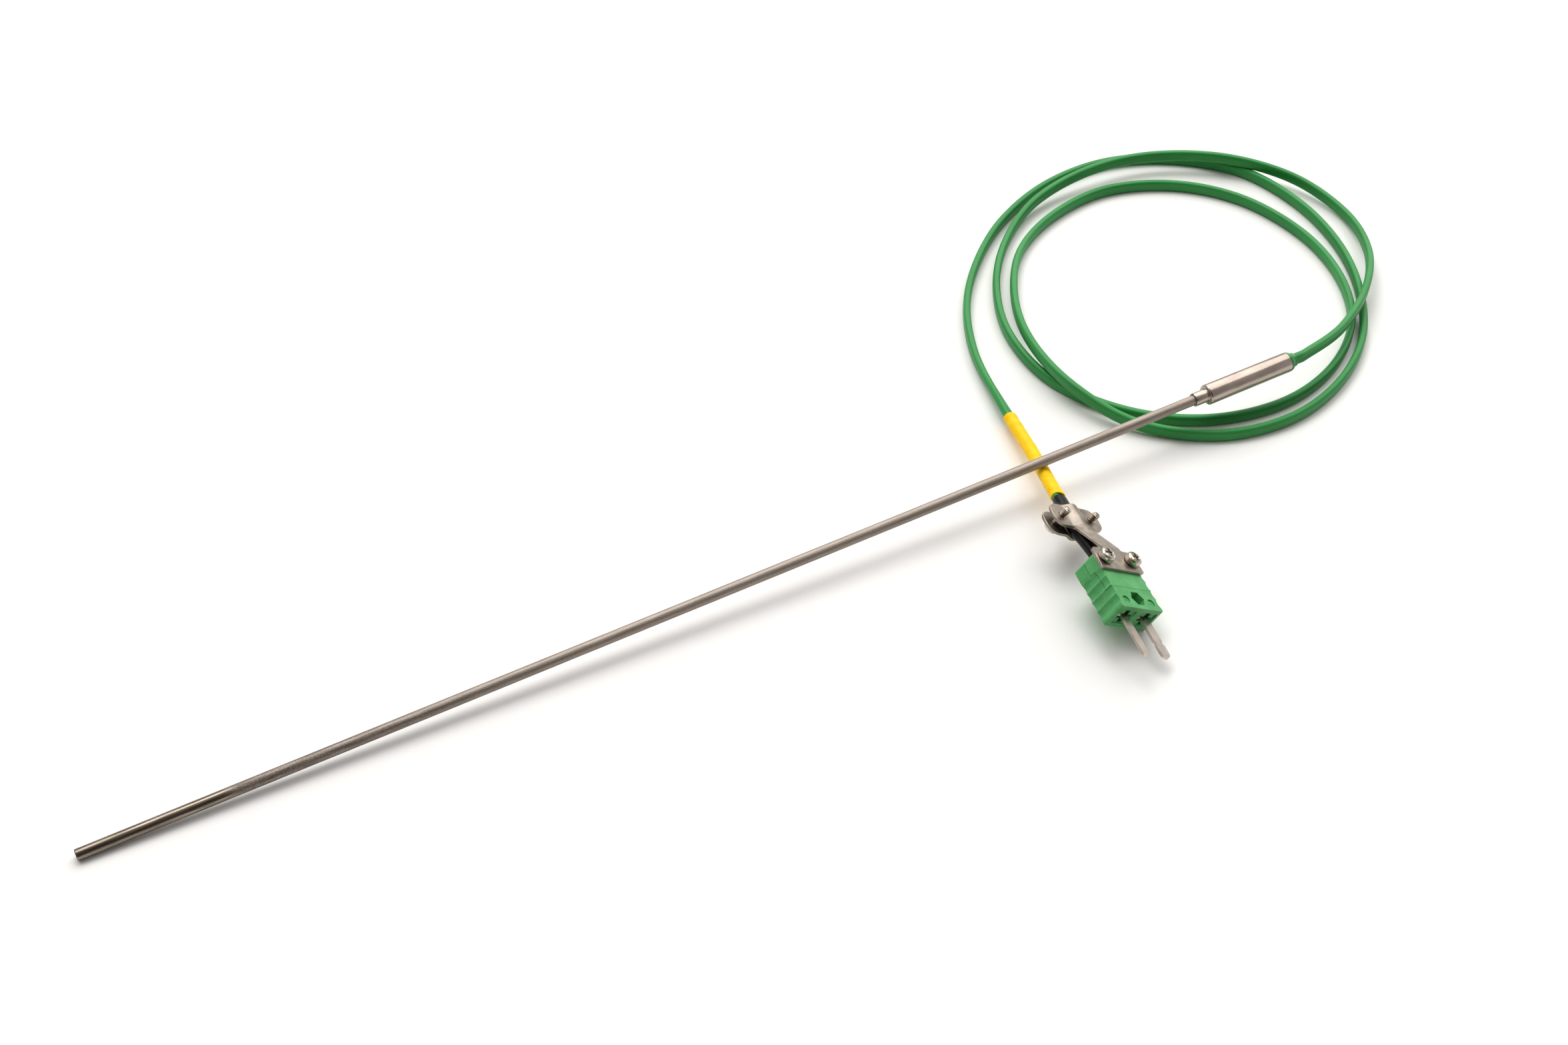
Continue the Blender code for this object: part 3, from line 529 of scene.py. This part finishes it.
def grown(work, ring):
    """Extrude a closed ring of vertices and give the new ring in the same order."""
    edges = [work.edges.get((a, b)) for a, b in zip(ring, ring[1:] + ring[:1])]
    fresh = {v for v in bmesh.ops.extrude_edge_only(work, edges=edges)["geom"]
             if isinstance(v, bmesh.types.BMVert)}
    return [next(e.other_vert(v) for e in v.link_edges if e.other_vert(v) in fresh) for v in ring]


def swept(rows, sides, closed):
    """Sweep sections along stations: rows of (length, point, (wide, thin), section in mm)."""
    work = bmesh.new()
    lie = work.verts.layers.float_vector.new("lie")
    ring = bmesh.ops.create_circle(work, cap_ends=False, segments=sides, radius=MM)["verts"]
    first = ring
    for i, (length, point, (wide, thin), section) in enumerate(rows):
        if i:
            ring = grown(work, ring)
        for vertex, (a, b) in zip(ring, section):
            vertex.co = point + wide * (a * MM) + thin * (b * MM)
            vertex[lie] = (a * MM, b * MM, length)
    loops = [[work.edges.get((a, b)) for a, b in zip(r, r[1:] + r[:1])] for r in (first, ring)]
    if closed:
        bmesh.ops.bridge_loops(work, edges=loops[0] + loops[1])
    else:
        for loop in loops:
            bmesh.ops.edgeloop_fill(work, edges=loop)
    bmesh.ops.recalc_face_normals(work, faces=work.faces)
    return work


# ---------------------------------------------------------------- lead and sleeves

def make_lead(line, total, look):
    """The flat twin jacket: a full oval with a shallow waist between its two cores."""
    stations = walk(line, 0.0, total, LEAD_STEP * MM)
    section = [(a, b * (1 - 0.10 * max(0.0, 1 - abs(a) / 0.6))) for a, b in
               oval(*LEAD_HALF, LEAD_SIDES, 3.0)]
    rows = [(d, p, axes, section) for (d, p), axes in zip(stations, lead_axes(stations))]
    lead = piece("flat_twin_lead", swept(rows, LEAD_SIDES, False), look, BODY, "lead_jacket",
                 ("lead_cable",), 50)
    return lead, [p for _, p in stations]


def make_sleeve(name, line, limits, shape, wall, look, node):
    """A shrunk sleeve: outer skin out, inner skin back, both ends closed by its cut edge."""
    start, stop = limits
    stations = walk(line, start * MM, stop * MM, SLEEVE_STEP * MM)
    axes = lead_axes(stations)
    outer, inner = [], []
    for (d, p), cross in zip(stations, axes):
        wide, thin = shape((d / MM - start) / (stop - start))
        edge = SLEEVE_EDGE if d in (stations[0][0], stations[-1][0]) else 0.0
        outer.append((d, p, cross, oval(wide - edge, thin - edge, SLEEVE_SIDES, 2.3)))
        inner.append((d, p, cross, oval(wide - wall, thin - wall, SLEEVE_SIDES, 2.3)))
    inner.reverse()
    return piece(name, swept(outer + inner, SLEEVE_SIDES, True), look, BODY, node, (node,), 50)


def marker_shape(share):
    """Half sizes of the yellow sleeve: a lip at each end and a slight waviness between."""
    lip = 0.26 * (1 - ease((1 - share) / 0.05)) + 0.10 * (1 - ease(share / 0.05))
    wave = 0.03 * sin(share * 23) + 0.02 * sin(share * 51)
    return 2.12 + lip + wave, 1.78 + lip + wave


def strain_shape(share):
    """Half sizes of the black sleeve: squeezed wide between the jaws, rounder in the plug."""
    place = STRAIN_SLEEVE[0] + share * (STRAIN_SLEEVE[1] - STRAIN_SLEEVE[0])
    pressed = ease((place - 12.5) / 4.5) * (1 - ease((place - 23.0) / 3.5))
    return 2.08 + 0.85 * pressed, 1.72 + 0.12 * pressed


# ---------------------------------------------------------------- probe

def make_probe(looks):
    """Sheath with its closed tip, pot with its neck, and the seal poured into the pot's back."""
    tip = [(0, 0), (SHEATH_R - 0.3, 0), *arc(SHEATH_R - 0.3, 0.3, 0.3, -90, 0)]
    body = [(SHEATH_R, 20.0 * i) for i in range(1, 17)]
    back = [(SHEATH_R, SHEATH_SHOWN + 3.0), (0, SHEATH_SHOWN + 3.0)]
    sheath = turned(tip + body + back, 72)
    piece("drawn_sheath", placed(sheath, PROBE), looks["sheath"], BODY, "sheath", ("sheath",), 30)

    shoulder = SHEATH_SHOWN + 4.4
    neck = [(NECK_BORE_R, shoulder), (NECK_BORE_R, SHEATH_SHOWN + 0.2),
            *arc(1.77, SHEATH_SHOWN + 0.24, 0.24, 180, 360, 8),
            (2.0, shoulder - 0.35), *arc(2.28, shoulder - 0.28, 0.28, 180, 90, 5)]
    rim = [*arc(POT_R - 0.5, shoulder + 0.5, 0.5, -90, 0, 8), (POT_R, shoulder + 8.0),
           (POT_R, shoulder + 18.0)]
    end = [*arc(POT_R - 0.2, POT_END - 0.2, 0.2, 0, 180, 8), (2.65, shoulder + 1.4),
           (NECK_BORE_R, shoulder + 1.0)]
    pot = turned(neck + rim + end, 96)
    piece("turned_pot", placed(pot, PROBE), looks["pot"], BODY, "pot", ("pot",), 40)

    bulge = [(1.1, POT_END - 1.2), (2.62, POT_END - 1.2), (2.62, POT_END + 0.02),
             (2.9, POT_END + 0.06), (2.96, POT_END + 0.22), (2.93, POT_END + 0.5),
             (2.82, POT_END + 0.85), (2.62, POT_END + 1.2), (2.36, POT_END + 1.48),
             (2.14, POT_END + 1.66), (2.02, POT_END + 1.86), (2.02, POT_END + 2.1),
             (2.1, POT_END + 2.3), (2.1, POT_END + 2.52), (2.02, SEAL_END - 0.03), (1.1, SEAL_END)]
    seal = turned(bulge, 64)
    piece("poured_seal", placed(seal, PROBE), looks["seal"], BODY, "rear_seal", ("rear_seal",), 50)


# ---------------------------------------------------------------- plug and clamp

def thread_ridge(low):
    """One helical ridge: a closed V section carried round and up by the spin."""
    work = bmesh.new()
    half = THREAD_PITCH / 2
    inner = THREAD_ROOT_R - 0.12
    outline = [(inner, low), (THREAD_R, low + half * 0.8), (THREAD_R, low + half * 1.2),
               (inner, low + 2 * half)]
    verts = [work.verts.new((r * MM, 0, h * MM)) for r, h in outline]
    face = work.faces.new(verts)
    bmesh.ops.spin(work, geom=[face, *verts, *face.edges], cent=(0, 0, 0), axis=(0, 0, 1),
                   dvec=(0, 0, THREAD_PITCH * MM / THREAD_STEPS_PER_TURN),
                   angle=2 * pi * THREAD_TURNS, steps=THREAD_STEPS_PER_TURN * THREAD_TURNS,
                   use_merge=False)
    bmesh.ops.recalc_face_normals(work, faces=work.faces)
    return work


def make_clamp_screws(looks):
    """Clamp screws: the head is kept from the solid model, the shank gets a real helix."""
    under = PLUG @ Vector((0, 0, (HEAD_TOP - 0.02) * MM))
    up = PLUG.to_3x3() @ Vector((0, 0, 1))
    for side, x in (("left", -CLAMP_SCREW_X), ("right", CLAMP_SCREW_X)):
        node = f"clamp_screw_{side}"
        head = merged_copy(node)
        geom = head.verts[:] + head.edges[:] + head.faces[:]
        cut = bmesh.ops.bisect_plane(head, geom=geom, dist=0.0000005, plane_co=under, plane_no=up,
                                     clear_outer=True)
        rim = [e for e in cut["geom_cut"] if isinstance(e, bmesh.types.BMEdge)]
        bmesh.ops.edgeloop_fill(head, edges=rim)
        core = turned([(0, HEAD_TOP - 0.1), (THREAD_ROOT_R, HEAD_TOP - 0.1), (THREAD_ROOT_R, 2.95),
                       *arc(THREAD_ROOT_R - 0.3, 3.0, 0.3, 0, 90, 4), (0, 3.3)], 32)
        ridge = thread_ridge(HEAD_TOP + 0.12)
        shank = placed(joined(core, ridge), PLUG @ Matrix.Translation((x * MM, CLAMP_Y * MM, 0)))
        yield piece(f"{side}_clamp_screw", joined(head, shank), looks["screw"], f"{side}_screw",
                    "screw_steel", (node,), 35)


def make_flash(looks):
    """Moulding flash: small crumbs of plastic left along the lower front edge of the plug."""
    work = bmesh.new()
    rough = Random(4)
    for i in range(FLASH_CRUMBS):
        back, up = FLASH_Y + rough.uniform(-0.1, 0.05), FLASH_Z + rough.uniform(-0.06, 0.1)
        spot = Vector((FLASH_LEFT + i * FLASH_SPACING, back, up))
        bmesh.ops.create_icosphere(work, subdivisions=1, radius=rough.uniform(0.1, 0.2) * MM,
                                   matrix=PLUG @ Matrix.Translation(spot * MM))
    return piece("moulding_flash", work, looks["flash"], BODY, "plug_plastic")


def make_signs(looks):
    """Raised plus and minus in the two round marks on the plug's top."""
    work = bmesh.new()
    for x, sizes in ((-MARK_X, ((0.95, 0.2), (0.2, 0.95))), (MARK_X, ((0.95, 0.2),))):
        centre = PLUG @ Matrix.Translation((x * MM, MARK_Y * MM, MARK_Z * MM))
        for wide, long in sizes:
            bmesh.ops.create_cube(work, size=MM,
                                  matrix=centre @ Matrix.Diagonal((wide, long, 0.14, 1)))
    return piece("polarity_signs", work, looks["plug"], BODY, "plug_plastic")


def make_plug(looks):
    """Plug and clamp pieces kept from the solid model, with even flats and rounded pressed edges."""
    rows = [("plug_body", "plug_base", "plug", "plug_plastic"),
            ("plug_cover", "plug_lid", "lid", "cover_plastic"),
            ("blade_positive", "narrow_blade", "positive", "blade_chromel"),
            ("blade_negative", "wide_blade", "negative", "blade_alumel"),
            ("plate_screw_left", "left_plate_screw", "screw", "screw_steel"),
            ("plate_screw_right", "right_plate_screw", "screw", "screw_steel"),
            ("clamp_bracket", "pressed_bracket", "sheet", "clamp_steel"),
            ("clamp_jaw", "pressed_jaw", "sheet", "clamp_steel")]
    for node, name, look, slot in rows:
        body = "jaw" if node == "clamp_jaw" else BODY
        obj = piece(name, merged_copy(node), looks[look], body, slot, (node,), 30)
        if look == "sheet":
            eased(obj)
        evened = obj.modifiers.new("even_flats", "WEIGHTED_NORMAL")
        evened.keep_sharp = True
        yield obj


# ---------------------------------------------------------------- scene

def make_looks():
    return {
        "sheath": sheath_steel(), "pot": pot_steel(), "sheet": sheet_steel(), "screw": screw_steel(),
        "positive": blade_metal("positive_blade_alloy", tint(186, 174, 161), tint(212, 201, 189)),
        "negative": blade_metal("negative_blade_alloy", tint(182, 171, 160), tint(208, 198, 187)),
        "lead": jacket_plastic(), "seal": seal_rubber(), "marker": marker_plastic(),
        "strain": strain_plastic(),
        "plug": moulded_plastic("plug_plastic", tint(58, 146, 76), tint(84, 170, 98)),
        "flash": moulded_plastic("flash_plastic", tint(88, 172, 104), tint(142, 206, 150)),
        "lid": moulded_plastic("lid_plastic", tint(62, 150, 80), tint(88, 174, 102)),
        "brass": plain_finish("terminal_brass", tint(170, 128, 62), tint(214, 176, 100), 1400, 0.24,
                              0.000004, 1.0),
        "magnesia": plain_finish("packed_magnesia", tint(214, 210, 200), tint(240, 238, 230), 2600,
                                 0.78, 0.00003),
        "resin": plain_finish("cast_resin", tint(30, 30, 34), tint(58, 57, 60), 700, 0.26, 0.00001),
        "crimp": plain_finish("crimp_copper", tint(176, 120, 86), tint(214, 160, 120), 1800, 0.28,
                              0.000006, 1.0),
        "core_green": plain_finish("green_core", tint(30, 122, 56), tint(52, 148, 74), 900, 0.34,
                                   0.00001),
        "core_white": plain_finish("white_core", tint(214, 212, 204), tint(236, 235, 229), 900, 0.34,
                                   0.00001),
        "weld": plain_finish("weld_bead_metal", tint(92, 88, 86), tint(158, 150, 142), 2600, 0.36,
                             0.00002, 1.0),
        "chromel": plain_finish("chromel_wire", tint(176, 160, 146), tint(206, 192, 178), 2400, 0.22,
                                0.000004, 1.0),
        "alumel": plain_finish("alumel_wire", tint(168, 158, 150), tint(200, 190, 182), 2400, 0.24,
                               0.000004, 1.0),
    }


def dress_inner_nodes(looks):
    """Better materials for the inner CAD nodes that stay as they are."""
    rows = {"magnesia": ("mgo_insulation",), "chromel": ("thermoelement_positive",),
            "alumel": ("thermoelement_negative",), "weld": ("hot_junction",),
            "resin": ("potting_resin",), "crimp": ("splice_positive", "splice_negative"),
            "core_green": ("pot_core_positive", "plug_core_positive"),
            "core_white": ("pot_core_negative", "plug_core_negative"), "brass": PLUG_BRASS}
    for look, nodes in rows.items():
        for node in nodes:
            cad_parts[node].data.materials.clear()
            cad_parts[node].data.materials.append(looks[look])


def make_camera():
    data = bpy.data.cameras.new("camera")
    data.sensor_width = 36.0
    data.lens = 44.63
    data.clip_start = 0.01
    camera = bpy.data.objects.new("camera", data)
    bpy.context.scene.collection.objects.link(camera)
    camera.location = (-0.1579, -0.3179, 0.3840)
    camera.rotation_euler = Vector((0.3306, 0.6251, -0.7071)).to_track_quat("-Z", "Y").to_euler()
    bpy.context.scene.camera = camera


def area_light(name, place, aim, size, power, colour):
    data = bpy.data.lights.new(name, "AREA")
    data.shape = "RECTANGLE"
    data.size, data.size_y = size
    data.energy = power
    data.color = colour
    light = bpy.data.objects.new(name, data)
    bpy.context.scene.collection.objects.link(light)
    light.location = place
    light.rotation_euler = (Vector(aim) - Vector(place)).to_track_quat("-Z", "Y").to_euler()


def make_world():
    """Pale studio: bright overhead and behind, dimmer and warmer on the near side."""
    world = bpy.data.worlds.new("studio")
    bpy.context.scene.world = world
    world.use_nodes = True
    sky = Nodes(world.node_tree)
    where = sky.node("ShaderNodeTexCoord", {}, {}, "Generated")
    near_side = Vector((-0.42, -0.80, 0.42)).normalized()
    facing = sky.node("ShaderNodeVectorMath", {"operation": "DOT_PRODUCT"}, {0: where, 1: near_side},
                      "Value")
    stops = [(0.0, (0.80, 0.80, 0.82, 1)), (0.30, (1.0, 0.99, 0.98, 1)), (0.62, (0.75, 0.73, 0.70, 1)),
             (0.80, (0.20, 0.18, 0.16, 1)), (0.97, (0.10, 0.085, 0.07, 1))]
    colour = sky.node("ShaderNodeValToRGB", {"stops": stops}, {"Fac": facing})
    back = world.node_tree.nodes["Background"]
    sky.give(back.inputs["Color"], colour)
    sky.give(back.inputs["Strength"], 0.56)


def make_studio():
    """Pale floor, a large soft light from behind on the right and a second from behind."""
    floor_look = Look("floor_paint", Specular_IOR_Level=0.2)
    grain = floor_look.noise(floor_look.place(), 40, 2)
    paint = floor_look.mix(grain, tint(243, 242, 240), tint(246, 245, 244))
    work = bmesh.new()
    bmesh.ops.create_grid(work, x_segments=1, y_segments=1, size=2.5)
    mesh = bpy.data.meshes.new("floor")
    work.to_mesh(mesh)
    work.free()
    mesh.materials.append(floor_look.finish(paint, 0.7))
    floor = bpy.data.objects.new("floor", mesh)
    bpy.context.scene.collection.objects.link(floor)
    area_light("key", (1.70, 1.55, 2.30), (0.05, 0.0, 0.0), (3.8, 3.8), 100.0, (1.0, 0.985, 0.96))
    area_light("top", (-0.30, 1.50, 2.60), (0.0, 0.05, 0.0), (2.6, 1.6), 44.0, (1.0, 0.99, 0.98))
    make_world()
    bpy.context.scene.view_settings.view_transform = "Standard"


def build():
    make_camera()
    looks = make_looks()
    line = lead_line()
    total = sum((b - a).length for a, b in zip(line, line[1:]))
    lead, path = make_lead(line, total, looks["lead"])
    marker = make_sleeve("yellow_marker_sleeve", line, MARKER_SLEEVE, marker_shape, MARKER_WALL,
                         looks["marker"], "marker_sleeve")
    strain = make_sleeve("black_strain_sleeve", line, STRAIN_SLEEVE, strain_shape, STRAIN_WALL,
                         looks["strain"], "strain_sleeve")
    make_probe(looks)
    fitted = [marker, strain, *make_plug(looks), *make_clamp_screws(looks), make_flash(looks),
              make_signs(looks)]
    dress_inner_nodes(looks)
    fitted += [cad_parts[name] for name in (*PLUG_BRASS, *PLUG_CORES)]
    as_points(path)
    make_studio()


build()
